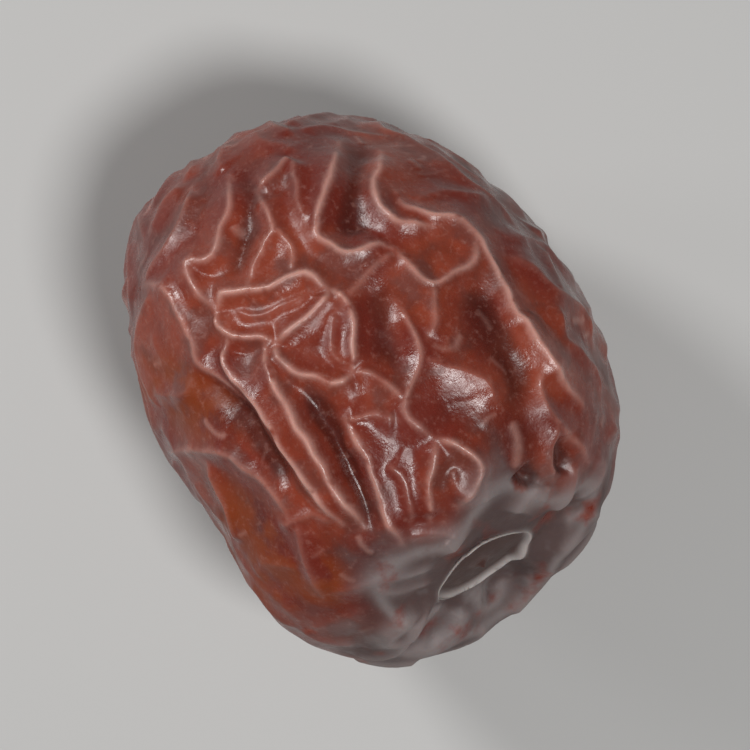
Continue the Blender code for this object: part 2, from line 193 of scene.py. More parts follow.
# Where the bloom lies round the stem end, along the fruit and round the scar
BLOOM_START = 8.6
BLOOM_FADE = 3.2
BLOOM_PAST_HOLLOW = 1.2
BLOOM_HOLLOW_FADE = 2.0
RIM_INSET = 0.6
RIM_HALF_WIDTH = 0.45
FAR_AWAY = 99.0

# Patches of translucent flesh on the plan: centre u and v, half-length, half-width, bearing in degrees
AMBER_PATCHES = [(19, 64, 13, 7, 38), (32, 93, 16, 8, 60), (44, 99, 9, 6, 20)]
AMBER_EDGE = 1.25
AMBER_FADE = 0.8

# The skin's colours
# Painted shade: the deep red laid into the valleys, where shade falls
RED_PAINTED_SHADE = (0.040, 0.008, 0.006, 1)
RED = (0.150, 0.021, 0.013, 1)
RED_WARM = (0.240, 0.044, 0.022, 1)
RED_BROWN = (0.100, 0.030, 0.024, 1)
AMBER = (0.21, 0.033, 0.003, 1)
# Pale pink for the dust specks, and for the crest lines, which are partly worn skin and partly painted
# highlight
PINK_DUST_AND_HIGHLIGHT = (0.56, 0.30, 0.25, 1)
BLOOM_GREY = (0.070, 0.052, 0.050, 1)
BLOOM_LIGHT = (0.25, 0.225, 0.22, 1)
SCAR_BROWN = (0.060, 0.030, 0.025, 1)
RING_GREY = (0.50, 0.45, 0.43, 1)

# How much of the skin each colour covers at most
BROWN_SHARE = 0.6
VALLEY_SHADE_SHARE = 0.7
AMBER_SHARE = 0.85
DUST_SHARE = 0.16
LINE_SHARE = 0.9
FINE_LINE_SHARE = 0.35
BLOOM_LIGHT_SHARE = 0.8
BLOOM_SHARE = 0.85
SCAR_SHARE = 0.9
RING_SHARE = 0.85

# The reliefs in millimetres where the painted valley shade is darkest at the second, and where bloom is
# lightest
VALLEY_SHADE_RELIEF = (0.20, -0.15)
HIGH_RELIEF = (0.05, 0.32)
FINE_LINE_SPAN = (0.45, 1.0)

# Noise patterns: cycles a millimetre, octaves, their strength, and the noise that counts as 0 and as 1
Pattern = namedtuple("Pattern", "cycles octaves strength low high")
WARM_MOTTLE = Pattern(0.22, 4.0, 0.5, 0.38, 0.62)
BROWN_PATCHES = Pattern(0.45, 3.0, 0.5, 0.50, 0.66)
AMBER_BREAKS = Pattern(0.60, 3.0, 0.5, 0.36, 0.56)
DUST = Pattern(3.20, 5.0, 0.65, 0.50, 0.75)
LINE_BREAKS = Pattern(1.10, 2.0, 0.5, 0.20, 0.45)
BLOOM_PATCHES = Pattern(0.45, 3.0, 0.5, 0.50, 0.75)
BLOOM_BREAKS = Pattern(0.50, 4.0, 0.5, 0.24, 0.46)
DULL_PATCHES = Pattern(0.90, 3.0, 0.5, 0.35, 0.65)

# The least roughness, and what dull patches, bloom and amber flesh add to it
ROUGHNESS = 0.23
DULL_ROUGHNESS = 0.15
BLOOM_ROUGHNESS = 0.3
AMBER_ROUGHNESS = 0.2

# Bumps too fine for the mesh: cycles a millimetre, octaves, their strength, height in millimetres, share
Bump = namedtuple("Bump", "cycles octaves strength height share")
BUMPS = [Bump(2.2, 4.0, 0.6, 0.08, 0.45), Bump(9.0, 3.0, 0.6, 0.02, 0.5)]

# Light that enters the skin, its reach in millimetres for red, green and blue, and the shine
SUBSURFACE = 0.12
SUBSURFACE_REACH = (1.0, 0.25, 0.12)
SPECULAR = 0.4
SHEEN = 0.02
SHEEN_ROUGHNESS = 0.35

# The floor, in metres, and the light from all round
FLOOR_SIZE = 2.0
FLOOR_GREY = (0.50, 0.495, 0.485, 1)
FLOOR_ROUGHNESS = 0.7
WORLD_LIGHT = 0.05

# The lamps: name, place in the photograph's view and size in metres, and watts
LAMPS = [
    ("key", (0.07, -0.07, 0.25), 0.075, 0.47),
    ("fill", (-0.18, 0.13, 0.16), 0.065, 0.38),
    ("side", (-0.24, 0.06, 0.10), 0.06, 0.08),
]

# The photograph's frame and the camera, in millimetres
FRAME_WIDTH = 37.5
LENS = 200
SENSOR = 36
CLIP_START = 10

Stroke = namedtuple("Stroke", "height flank lean path")

# Height and flank in millimetres, lean from -1 to 1 for the steeper side, then points on the plan
DRAWN_CRESTS = [
    # the bean-shaped pocket
    (0.72, 0.40, 0.2, [(25, 47), (27, 44), (32, 43), (36, 43), (39, 41), (43, 40), (46, 42), (47, 43)]),
    (0.70, 0.38, -0.2, [(47, 43), (46, 46), (43, 49), (40, 51), (37, 53)]),
    (0.66, 0.38, 0.0, [(25, 47), (26, 50), (29, 52), (33, 52), (37, 53)]),
    (0.34, 0.24, 0.0, [(28, 47), (32, 48), (37, 47), (41, 45), (44, 43)]),
    # the three-cornered pocket beside it
    (0.70, 0.40, 0.3, [(47, 43), (50, 45), (52, 50), (52, 55), (52, 59)]),
    (0.68, 0.38, 0.0, [(37, 53), (38, 56), (42, 59), (47, 61), (50, 61), (52, 59)]),
    (0.36, 0.30, 0.4, [(49, 47), (48, 51), (48, 55), (51, 58)]),
    # the pair of long folds
    (0.86, 0.40, 0.5, [(28, 52), (27, 56), (29, 60), (33, 64), (37, 69), (40, 75), (45, 82), (50, 88)]),
    (0.86, 0.40, -0.5, [(35, 53), (36, 58), (40, 65), (44, 72), (49, 81), (54, 89)]),
    # small cell above the bean
    (0.58, 0.38, 0.0, [(32, 42), (33, 37), (36, 32), (36, 29), (34, 25), (33, 23)]),
    (0.50, 0.34, 0.0, [(36, 31), (40, 35), (40, 40)]),
    (0.55, 0.38, 0.2, [(33, 23), (37, 20), (40, 17)]),
    (0.45, 0.45, 0.4, [(40, 17), (41, 24), (43, 31)]),
    # hooked fold near the top
    (0.68, 0.44, -0.3, [(49, 13), (48, 20), (46, 27), (45, 32), (48, 35), (52, 36), (57, 34), (60, 35)]),
    # long curved fold down the right side
    (0.70, 0.44, 0.3, [(58, 15), (56, 22), (57, 27), (60, 30), (64, 31), (67, 31)]),
    (0.74, 0.48, 0.4, [(60, 24), (62, 27), (66, 29), (71, 30), (75, 33), (78, 38), (81, 43), (84, 49),
                       (88, 56), (92, 61), (96, 65)]),
    (0.62, 0.40, 0.0, [(60, 35), (63, 39), (67, 42), (71, 40), (75, 38), (75, 33)]),
    (0.46, 0.40, 0.2, [(60, 35), (56, 39), (53, 42), (50, 45)]),
    (0.48, 0.50, -0.3, [(67, 42), (68, 48), (66, 52)]),
    # ridges over the middle
    (0.56, 0.50, 0.3, [(60, 45), (63, 50), (65, 56), (63, 61), (62, 66), (65, 70), (68, 72)]),
    (0.54, 0.42, 0.0, [(52, 59), (57, 60), (62, 65)]),
    (0.40, 0.42, 0.0, [(65, 56), (71, 58), (77, 60), (80, 66)]),
    (0.62, 0.36, 0.2, [(68, 72), (67, 77), (66, 81), (67, 88)]),
    (0.66, 0.36, -0.2, [(68, 72), (72, 73), (76, 77), (74, 82), (72, 85)]),
    (0.32, 0.30, 0.0, [(71, 77), (72, 81), (74, 84)]),
    (0.66, 0.42, 0.2, [(50, 68), (54, 74), (56, 80), (58, 86), (61, 92)]),
    (0.50, 0.42, 0.0, [(50, 68), (55, 67), (61, 68)]),
    (0.44, 0.44, 0.0, [(58, 76), (62, 80), (63, 88)]),
    # folds and facets on the left side
    (0.60, 0.50, -0.3, [(27, 20), (28, 25), (26, 31), (25, 36), (20, 38), (22, 43), (25, 47)]),
    (0.56, 0.50, -0.4, [(10, 42), (15, 42), (18, 47), (21, 53), (22, 57), (27, 61), (31, 64)]),
    (0.44, 0.42, 0.0, [(20, 22), (18, 29), (14, 36), (10, 42)]),
    (0.54, 0.42, 0.2, [(11, 68), (15, 74), (20, 74), (26, 74), (31, 77), (37, 82), (40, 88)]),
    (0.44, 0.38, 0.0, [(23, 76), (25, 81), (27, 86), (29, 93)]),
    (0.42, 0.38, 0.0, [(37, 89), (41, 87), (45, 86), (49, 88)]),
    (0.42, 0.38, 0.0, [(41, 87), (43, 95), (46, 103)]),
    # towards the stem end on the right
    (0.50, 0.42, 0.3, [(88, 56), (88, 64), (91, 69), (95, 73), (98, 76)]),
    (0.46, 0.34, 0.0, [(91, 69), (90, 75), (91, 80)]),
    (0.42, 0.48, 0.3, [(80, 36), (86, 39), (90, 43), (97, 47), (100, 53)]),
]

# Broad swellings between the crests
DRAWN_SWELLS = [
    (0.34, 0.90, 0.0, [(31, 57), (36, 64), (42, 72), (47, 80), (52, 87)]),
    (0.34, 1.40, 0.0, [(72, 22), (80, 31), (88, 41), (95, 52)]),
    (0.30, 1.60, 0.0, [(16, 62), (24, 68), (30, 72)]),
    (0.30, 1.30, 0.0, [(84, 47), (88, 54), (92, 60)]),
]

# Valleys where the skin is drawn in
DRAWN_GROOVES = [
    (0.40, 0.70, 0.0, [(21, 58), (27, 63), (32, 68), (36, 75), (40, 82)]),
    (0.40, 0.65, 0.0, [(41, 60), (46, 68), (50, 75), (54, 83), (57, 90)]),
    (0.22, 1.10, 0.0, [(32, 18), (31, 26), (31, 33), (29, 42)]),
    (0.24, 1.20, 0.0, [(53, 12), (53, 20), (52, 27), (51, 34)]),
    (0.24, 1.00, 0.0, [(76, 40), (80, 48), (84, 57), (88, 66)]),
    (0.16, 1.10, 0.0, [(55, 40), (56, 47), (57, 54), (60, 61)]),
    # the small pits by the stem end
    (0.35, 0.60, 0.0, [(92, 71), (93, 76), (92, 79)]),
    (0.60, 0.40, 0.0, [(84, 78), (86, 80), (88, 81)]),
]


def smooth_step(value):
    share = np.clip(value, 0.0, 1.0)
    return share * share * (3 - 2 * share)


def sphere_mesh(levels):
    """A bmesh sphere of radius 1 whose vertices stand for directions from the fruit's centre."""
    sphere = bmesh.new()
    bmesh.ops.create_icosphere(sphere, subdivisions=levels, radius=1.0)
    return sphere


def waved(angle, waves):
    """A radius of 1 with bulges round it."""
    return 1 + sum(share * np.cos(count * angle + turn) for count, share, turn in waves)


def barrel(directions):
    """The rounded barrel, with a blunt stem end, a rounder tip and one fuller shoulder."""
    along = directions[:, 0]
    angle = np.arctan2(directions[:, 2], directions[:, 1])
    lobes = waved(angle, GIRTH_WAVES)
    half_length = np.where(along > 0, STEM_HALF, TIP_HALF)
    power = np.where(along > 0, STEM_SQUARENESS, TIP_SQUARENESS)
    across = np.hypot(directions[:, 1] / HALF_WIDTH, directions[:, 2] / HALF_HEIGHT) / lobes
    reach = (np.abs(along / half_length) ** power + across**power) ** (-1 / power)
    away = 1 - directions @ np.array(Vector(SHOULDER_DIRECTION).normalized())
    reach *= 1 + SHOULDER_HEIGHT * np.exp(-away / SHOULDER_SPREAD)
    return directions * reach[:, None]


def stem_relief(across, angle):
    """How deep the stem end lies under the barrel: the lobed hollow, and the ring and stub in it."""
    hollow = smooth_step((HOLLOW_RADIUS * waved(angle, HOLLOW_WAVES) - across) / HOLLOW_WALL)
    hollow *= HOLLOW_DEPTH - HOLLOW_LEAN * across * np.sin(angle)
    oval = across / waved(angle, SCAR_WAVES)
    inside = SCAR_DEPTH * smooth_step((RING_RADIUS - oval) / (2 * RING_HALF_WIDTH) + 0.5)
    ring = RING_HEIGHT * np.exp(-(((oval - RING_RADIUS) / RING_HALF_WIDTH) ** 2))
    stub = STUB_HEIGHT * np.exp(-((across / STUB_RADIUS) ** 2))
    return hollow + inside - ring - stub


def body_points(directions):
    """The smooth fruit, tilted as it lies, one point for each unit direction."""
    points = barrel(directions)
    from_scar = (points[:, 1:] - (0.0, SCAR_RISE)) / (1.0, SCAR_FLATTENING)
    hollow = stem_relief(np.hypot(*from_scar.T), np.arctan2(from_scar[:, 1], from_scar[:, 0]))
    dimple = DIMPLE_DEPTH * np.exp(-((np.hypot(points[:, 1], points[:, 2]) / DIMPLE_RADIUS) ** 2))
    stem_share = smooth_step(points[:, 0] / STEM_HALF)
    points[:, 0] -= STEM_SLANT * points[:, 2] * stem_share
    points[:, 0] += np.where(directions[:, 0] > 0, -hollow, dimple)
    points[:, 1] += BOW * (1 / 3 - (points[:, 0] / BOW_LENGTH) ** 2)
    lean = Matrix.Rotation(-BODY_TILT, 3, "Y")
    return points @ np.array(lean).T


def shaped_body(levels):
    """The smooth fruit as a bmesh, with its points and outward normals as arrays."""
    body = sphere_mesh(levels)
    directions = np.array([v.co.normalized() for v in body.verts])
    points = body_points(directions)
    for vertex, point in zip(body.verts, points):
        vertex.co = point
    body.normal_update()
    normals = np.array([v.normal for v in body.verts])
    return body, points, normals


def rounded_path(points):
    """Points close together on a Catmull-Rom curve through the given ones."""
    corners = [Vector(p) for p in points]
    corners = [2 * corners[0] - corners[1], *corners, 2 * corners[-1] - corners[-2]]
    path = []
    for before, start, end, after in zip(corners, corners[1:], corners[2:], corners[3:]):
        pieces = max(1, round((end - start).length / PATH_SPACING))
        for i in range(pieces):
            t = i / pieces
            path.append(
                0.5 * (2 * start + (end - before) * t + (2 * before - 5 * start + 4 * end - after) * t**2
                       + (3 * start - before - 3 * end + after) * t**3)
            )
    return [*path, corners[-2]]


def from_plan(point):
    """Where a point of the plan is in the fruit's frame, seen from above."""
    right = (point[0] - PLAN_CENTRE[0]) * PLAN_UNIT
    down = (point[1] - PLAN_CENTRE[1]) * PLAN_UNIT
    x = right * math.cos(STEM_BEARING) + down * math.sin(STEM_BEARING)
    y = right * math.sin(STEM_BEARING) - down * math.cos(STEM_BEARING)
    return x, y


def drawn_strokes(drawings, surface):
    """Strokes drawn on the plan, dropped from above on to the fruit."""
    strokes = []
    for height, flank, lean, plan in drawings:
        path = []
        for point in rounded_path([Vector((u, v)) for u, v in plan]):
            x, y = from_plan(point)
            hit = surface.ray_cast(Vector((x, y, ABOVE)), Vector((0, 0, -1)))[0]
            if hit is not None:
                path.append(hit)
        if len(path) > 1:
            strokes.append(Stroke(height, flank, lean, np.array(path)))
    return strokes


def is_bare(point):
    """Where no fold grows: the hollow at the stem end and the very tip."""
    along = point.dot(AXIS)
    off_axis = (point - along * AXIS).length
    return off_axis < (BARE_STEM_RADIUS if along > 0 else BARE_TIP_RADIUS)


class Ground:
    """The points of every fold so far, to keep new folds clear of them."""

    def __init__(self, paths):
        self.points = np.concatenate(paths)

    def add(self, path):
        self.points = np.concatenate([self.points, path])

    def gap(self, point):
        return math.sqrt(((self.points - np.array(point)) ** 2).sum(axis=1).min())


def walk(start, heading, surface, ground, longest, draw):
    """One arm of a growing fold: it wanders over the surface until it meets another or runs out."""
    trail = [start]
    point, turn, gone = start, 0.0, 0.0
    starts_bare = is_bare(start)
    while gone < longest:
        turn = TURN_MEMORY * turn + draw.gauss(0, TURN_SPREAD)
        normal = surface.find_nearest(point)[1]
        heading = (Matrix.Rotation(turn, 3, normal) @ heading).normalized()
        point, normal = surface.find_nearest(point + heading * STEP)[:2]
        heading = (heading - heading.dot(normal) * normal).normalized()
        trail.append(point)
        gone += STEP
        if ground.gap(point) < MEET_GAP or (is_bare(point) and not starts_bare):
            break
    return trail


def pucker_strokes(surface, ground):
    """Low folds that run out from the hollow over the shoulder, all round the stem end."""
    draw = random.Random(SEED + 1)
    tilt = Matrix.Rotation(-BODY_TILT, 3, "Y")
    strokes = []
    for i in range(PUCKERS):
        angle = math.tau * (i + draw.uniform(-PUCKER_SHIFT, PUCKER_SHIFT)) / PUCKERS
        outward = tilt @ Vector((0, math.cos(angle), math.sin(angle)))
        middle = AXIS * ABOVE + tilt @ Vector((0, 0, SCAR_RISE))
        start = surface.ray_cast(middle + outward * draw.uniform(*PUCKER_STARTS), -AXIS)[0]
        trail = np.array(walk(start, outward, surface, ground, draw.uniform(*PUCKER_LENGTHS), draw))
        ground.add(trail)
        height, flank = draw.uniform(*PUCKER_HEIGHTS), draw.uniform(*PUCKER_FLANKS)
        strokes.append(Stroke(height, flank, draw.uniform(*LEANS), trail))
    return strokes


def grown_strokes(surface, points, normals, ground):
    """Folds that start at random and run roughly along the fruit, fewer and lower on the drawn side."""
    draw = random.Random(SEED)
    strokes = []
    for attempt in range(GROWN_FOLDS * TRIES_PER_FOLD):
        if len(strokes) >= GROWN_FOLDS:
            break
        pick = draw.randrange(len(points))
        start, normal = Vector(points[pick]), Vector(normals[pick])
        is_drawn_side = normal.z > DRAWN_SLOPE
        if is_bare(start) or ground.gap(start) < (FILL_SPACING if is_drawn_side else FOLD_SPACING):
            continue
        is_early = attempt < GROWN_FOLDS * TRIES_PER_FOLD * EARLY_SHARE
        swing = draw.gauss(0, LENGTHWISE_SPREAD) if is_early else draw.uniform(-WIDEST_SWING, WIDEST_SWING)
        heading = Matrix.Rotation(swing, 3, normal) @ (AXIS - AXIS.dot(normal) * normal).normalized()
        longest = draw.uniform(*ARM_LENGTHS)
        forward = walk(start, heading, surface, ground, longest, draw)
        back = walk(start, -heading, surface, ground, longest, draw)
        trail = np.array([*reversed(back[1:]), *forward])
        if len(trail) < SHORTEST_TRAIL:
            continue
        ground.add(trail)
        height = draw.uniform(*(FILL_HEIGHTS if is_drawn_side else GROWN_HEIGHTS))
        strokes.append(Stroke(height, draw.uniform(*GROWN_FLANKS), draw.uniform(*LEANS), trail))
    return strokes


def near_path(points, normals, path, reach):
    """For the points within reach of a path: their indices, their distance to it, the side of it that
    they are on as -1 to 1, and their share of the way along it."""
    low, high = path.min(axis=0) - reach, path.max(axis=0) + reach
    index = np.flatnonzero(((points > low) & (points < high)).all(axis=1))
    close, facing = points[index], normals[index]
    best = np.full(len(index), np.inf)
    side = np.zeros(len(index))
    share = np.zeros(len(index))
    last = len(path) - 1
    for i in range(last):
        start, span = path[i], path[i + 1] - path[i]
        offset = close - start
        t = np.clip(offset @ span / max(span @ span, 1e-12), 0, 1)
        gap = offset - t[:, None] * span
        distance = np.sqrt((gap**2).sum(axis=1))
        closer = distance < best
        best[closer] = distance[closer]
        left = np.cross(facing[closer], span / np.linalg.norm(span))
        side[closer] = (gap[closer] * left).sum(axis=1) / np.maximum(distance[closer], 1e-9)
        share[closer] = (i + t[closer]) / last
    inside = best < reach
    return index[inside], best[inside], side[inside], share[inside]


def crest_relief(points, normals, strokes):
    """How high the crests stand: each is a ridge on a broad base, steeper on the side it leans to, and
    where several meet the sum is blended."""
    total = np.zeros(len(points))
    for stroke in strokes:
        index, distance, side, share = near_path(points, normals, stroke.path, FOLD_REACH * stroke.flank)
        flank = stroke.flank * (1 + LEAN_EFFECT * stroke.lean * side)
        rounded = np.sqrt(distance**2 + SHARPEST_CREST**2) - SHARPEST_CREST
        fade = END_HEIGHT + (1 - END_HEIGHT) * smooth_step(np.minimum(share, 1 - share) * END_FADES)
        ridge = RIDGE_SHARE * np.exp(-rounded / flank)
        base = (1 - RIDGE_SHARE) * np.exp(-((distance / (BASE_FLANKS * flank)) ** 2))
        total[index] += (stroke.height * fade * (ridge + base)) ** CREST_BLEND
    return total ** (1 / CREST_BLEND)


def broad_relief(points, normals, strokes):
    """Rounded humps, or dips, of the strokes' height and half-width."""
    total = np.zeros(len(points))
    for stroke in strokes:
        index, distance, _, share = near_path(points, normals, stroke.path, SWELL_REACH * stroke.flank)
        fade = smooth_step(np.minimum(share, 1 - share) * SWELL_FADES)
        hump = stroke.height * fade * np.exp(-((distance / stroke.flank) ** 2))
        total[index] = np.maximum(total[index], hump)
    return total


def unevenness(points):
    """Soft dents and bumps of the dried flesh, in millimetres."""
    total = np.zeros(len(points))
    for height, cycles in DENTS:
        total += height * np.array([noise.noise(Vector(point) * cycles) for point in points])
    return total


def wobbled(points):
    """The points moved a little sideways, so that the folds through them aren't drawn too smoothly."""
    places = [Vector(point) * WOBBLE_CYCLES for point in points]
    shift = np.array([[noise.noise(place + start) for start in WOBBLE_STARTS] for place in places])
    return points + WOBBLE * shift


def flat_spot_share(points, normals):
    """1 at the lowest point of the smooth fruit, where folds are pressed out, and 0 beyond the flat spot."""
    lowest = points[np.argmin(points[:, 2])]
    off_centre = np.hypot(points[:, 0] - lowest[0], points[:, 1] - lowest[1])
    return np.where(normals[:, 2] < 0, smooth_step((FLAT_SPOT_REACH - off_centre) / FLAT_SPOT_FADE), 0.0)


def raise_skin(body, points, normals, crests, swells, grooves):
    """Moves the body's vertices out along their normals by the folds' relief."""
    queries = wobbled(points)
    relief = crest_relief(queries, normals, crests) - MEAN_RELIEF
    relief += broad_relief(queries, normals, swells)
    relief -= broad_relief(queries, normals, grooves)
    relief += unevenness(points)
    relief *= 1 - flat_spot_share(points, normals)
    for vertex, point in zip(body.verts, points + normals * relief[:, None]):
        vertex.co = point


def fine_strokes(surface, points, normals, ground):
    """Short low wrinkles between the folds, all over but in the hollow."""
    draw = random.Random(FINE_SEED)
    strokes = []
    for _ in range(FINE_FOLDS * TRIES_PER_FINE_FOLD):
        if len(strokes) >= FINE_FOLDS:
            break
        pick = draw.randrange(len(points))
        start, normal = Vector(points[pick]), Vector(normals[pick])
        spacing = CELL_SPACING if normal.z > DRAWN_SLOPE else FINE_SPACING
        if is_bare(start) or ground.gap(start) < spacing:
            continue
        heading = Matrix.Rotation(draw.uniform(0, math.tau), 3, normal) @ normal.orthogonal().normalized()
        trail = np.array(walk(start, heading, surface, ground, draw.uniform(*FINE_LENGTHS), draw))
        if len(trail) < SHORTEST_FINE_TRAIL:
            continue
        ground.add(trail)
        strokes.append(Stroke(draw.uniform(*FINE_HEIGHTS), draw.uniform(*FINE_FLANKS), 0.0, trail))
    return strokes


def crest_lines(points, normals, strokes):
    """1 on a strong crest and 0 a hair's breadth off it: where the pale line goes, partly worn skin and
    partly painted highlight.
    """
    total = np.zeros(len(points))
    for stroke in strokes:
        index, distance, _, share = near_path(points, normals, stroke.path, LINE_REACH * LINE_HALF_WIDTH)
        inward = smooth_step(np.minimum(share, 1 - share) * END_FADES)
        fade = LINE_END_STRENGTH + (1 - LINE_END_STRENGTH) * inward
        strength = min(1.0, (stroke.height / FULL_LINE_HEIGHT) ** LINE_CONTRAST) * fade
        total[index] = np.maximum(total[index], strength * np.exp(-((distance / LINE_HALF_WIDTH) ** 2)))
    return total


def scar_distance(directions):
    """How far each point is from the middle of the stem scar, across the fruit, as the hollow and as the
    ring see it."""
    points = barrel(directions)
    from_scar = (points[:, 1:] - (0.0, SCAR_RISE)) / (1.0, SCAR_FLATTENING)
    across = np.where(directions[:, 0] > 0, np.hypot(*from_scar.T), FAR_AWAY)
    angle = np.arctan2(from_scar[:, 1], from_scar[:, 0])
    return across / waved(angle, HOLLOW_WAVES), across / waved(angle, SCAR_WAVES)


def plan_coordinates(points):
    """Where points of the fruit are on the plan, as u and v."""
    cos, sin = math.cos(STEM_BEARING), math.sin(STEM_BEARING)
    right = points[:, 0] * cos + points[:, 1] * sin
    down = points[:, 0] * sin - points[:, 1] * cos
    return right / PLAN_UNIT + PLAN_CENTRE[0], down / PLAN_UNIT + PLAN_CENTRE[1]


def amber_mask(points, normals):
    """1 in the patches of translucent flesh."""
    u, v = plan_coordinates(points)
    total = np.zeros(len(points))
    for centre_u, centre_v, length, width, bearing in AMBER_PATCHES:
        cos, sin = math.cos(math.radians(bearing)), math.sin(math.radians(bearing))
        along = ((u - centre_u) * cos + (v - centre_v) * sin) / length
        across = (-(u - centre_u) * sin + (v - centre_v) * cos) / width
        total = np.maximum(total, smooth_step((AMBER_EDGE - np.hypot(along, across)) / AMBER_FADE))
    return total * (normals[:, 2] > 0)


def band(distance, middle, half_width):
    """1 at the middle of a band and 0 off it."""
    return np.exp(-(((distance - middle) / half_width) ** 2))


def bloom_mask(points, across):
    """1 where the stem end is dusted grey."""
    along = points[:, 0] * math.cos(BODY_TILT) + points[:, 2] * math.sin(BODY_TILT)
    by_length = smooth_step((along - BLOOM_START) / BLOOM_FADE)
    round_hollow = smooth_step((HOLLOW_RADIUS + BLOOM_PAST_HOLLOW - across) / BLOOM_HOLLOW_FADE)
    return np.maximum(by_length, round_hollow)


def add_mask(mesh, name, values):
    layer = mesh.attributes.new(name, "FLOAT", "POINT")
    layer.data.foreach_set("value", values.astype(np.float32))


def fine_skin_mesh():
    """The whole skin in millimetres, with its masks as attributes, before it is thinned out."""
    guide, guide_points, guide_normals = shaped_body(GUIDE_LEVELS)
    surface = BVHTree.FromBMesh(guide)
    guide.free()
    crests = drawn_strokes(DRAWN_CRESTS, surface)
    ground = Ground([stroke.path for stroke in crests])
    crests += pucker_strokes(surface, ground)
    crests += grown_strokes(surface, guide_points, guide_normals, ground)
    fine = fine_strokes(surface, guide_points, guide_normals, ground)
    swells = drawn_strokes(DRAWN_SWELLS, surface)
    grooves = drawn_strokes(DRAWN_GROOVES, surface)

    body = sphere_mesh(SKIN_LEVELS)
    directions = np.array([v.co.normalized() for v in body.verts])
    body.free()
    body, points, normals = shaped_body(SKIN_LEVELS)
    queries = wobbled(points)
    across, oval = scar_distance(directions)
    masks = {
        "crest": crest_lines(queries, normals, crests),
        "fine_crest": crest_relief(queries, normals, fine) / FINE_HEIGHTS[1],
        "relief": crest_relief(queries, normals, crests) - broad_relief(queries, normals, grooves),
        "amber": amber_mask(points, normals),
        "bloom": bloom_mask(points, across),
        "rim": band(across, HOLLOW_RADIUS - RIM_INSET, RIM_HALF_WIDTH),
        "scar": smooth_step((RING_RADIUS - oval) / RING_HALF_WIDTH),
        "ring": band(oval, RING_RADIUS, RING_HALF_WIDTH),
    }
    raise_skin(body, points, normals, crests + fine, swells, grooves)
    mesh = bpy.data.meshes.new("fine_skin")
    body.to_mesh(mesh)
    body.free()
    for name, values in masks.items():
        add_mask(mesh, name, values)
    return mesh


def decimated(mesh):
    """The mesh with about TRIANGLES triangles, fewer where the skin is smooth."""
    helper = bpy.data.objects.new("fine_skin", mesh)
    bpy.context.scene.collection.objects.link(helper)
    thin = helper.modifiers.new("thin_out", "DECIMATE")
    thin.ratio = TRIANGLES / len(mesh.polygons)
    graph = bpy.context.evaluated_depsgraph_get()
    result = bpy.data.meshes.new_from_object(helper.evaluated_get(graph), preserve_all_data_layers=True,
                                             depsgraph=graph)
    bpy.data.objects.remove(helper)
    return result


def fitted(mesh):
    """Presses the flat spot, fits the skin to the CAD box and scales it to metres."""
    count = len(mesh.vertices)
    points = np.empty(count * 3)
    mesh.vertices.foreach_get("co", points)
    points = points.reshape(-1, 3)
    floor = points[:, 2].min() + FLAT_SPOT_DEPTH
    points[:, 2] = np.maximum(points[:, 2], floor)
    low, high = points.min(axis=0), points.max(axis=0)
    box_low, box_high = np.array(cad_box[0]), np.array(cad_box[1])
    points = box_low + (points - low) / (high - low) * (box_high - box_low)
    mesh.vertices.foreach_set("co", points.ravel())
    mesh.update()


class Nodes:
    """Short calls to add and link shader nodes."""

    def __init__(self, material):
        material.use_nodes = True
        self.tree = material.node_tree
        self.shader = self.tree.nodes["Principled BSDF"]

    def feed(self, socket, value):
        if isinstance(value, bpy.types.NodeSocket):
            self.tree.links.new(value, socket)
        else:
            socket.default_value = value

    def mask(self, name):
        node = self.tree.nodes.new("ShaderNodeAttribute")
        node.attribute_name = name
        return node.outputs["Fac"]

    def place(self):
        return self.tree.nodes.new("ShaderNodeTexCoord").outputs["Object"]

    def noise(self, cycles, octaves, strength):
        """Noise from 0 to 1 with so many cycles a millimetre, and finer octaves of that strength."""
        node = self.tree.nodes.new("ShaderNodeTexNoise")
        self.feed(node.inputs["Vector"], self.place())
        node.inputs["Scale"].default_value = cycles / MM
        node.inputs["Detail"].default_value = octaves
        node.inputs["Roughness"].default_value = strength
        return node.outputs["Fac"]

    def pattern(self, pattern):
        """The pattern's noise, stretched so that its low is 0 and its high is 1."""
        plain = self.noise(pattern.cycles, pattern.octaves, pattern.strength)
        return self.span(plain, pattern.low, pattern.high)

    def math(self, operation, first, second=0.0, third=0.0):
        node = self.tree.nodes.new("ShaderNodeMath")
        node.operation = operation
        for socket, value in zip(node.inputs, (first, second, third)):
            self.feed(socket, value)
        return node.outputs["Value"]

    def span(self, value, low, high):
        """0 at low, 1 at high, smooth between."""
        node = self.tree.nodes.new("ShaderNodeMapRange")
        node.interpolation_type = "SMOOTHSTEP"
        self.feed(node.inputs["Value"], value)
        node.inputs["From Min"].default_value = low
        node.inputs["From Max"].default_value = high
        return node.outputs["Result"]

    def mix(self, share, first, second):
        node = self.tree.nodes.new("ShaderNodeMix")
        node.data_type = "RGBA"
        self.feed(node.inputs["Factor"], share)
        self.feed(node.inputs["A"], first)
        self.feed(node.inputs["B"], second)
        return node.outputs["Result"]

    def cover(self, color, mask, share, coat):
        """The coat over the colour where the mask is 1, as much of it as the share says."""
        return self.mix(self.math("MULTIPLY", mask, share), color, coat)

    def bump(self, bump, normal):
        node = self.tree.nodes.new("ShaderNodeBump")
        self.feed(node.inputs["Height"], self.noise(bump.cycles, bump.octaves, bump.strength))
        node.inputs["Distance"].default_value = bump.height * MM
        node.inputs["Strength"].default_value = bump.share
        if normal is not None:
            self.feed(node.inputs["Normal"], normal)
        return node.outputs["Normal"]


def bloom_color(nodes):
    """Grey that is lighter on the crests, in patches and along the rim of the hollow."""
    high = nodes.span(nodes.mask("relief"), *HIGH_RELIEF)
    light = nodes.math("MAXIMUM", high, nodes.pattern(BLOOM_PATCHES))
    grey = nodes.cover(BLOOM_GREY, light, BLOOM_LIGHT_SHARE, BLOOM_LIGHT)
    return nodes.cover(grey, nodes.mask("rim"), BLOOM_LIGHT_SHARE, BLOOM_LIGHT)


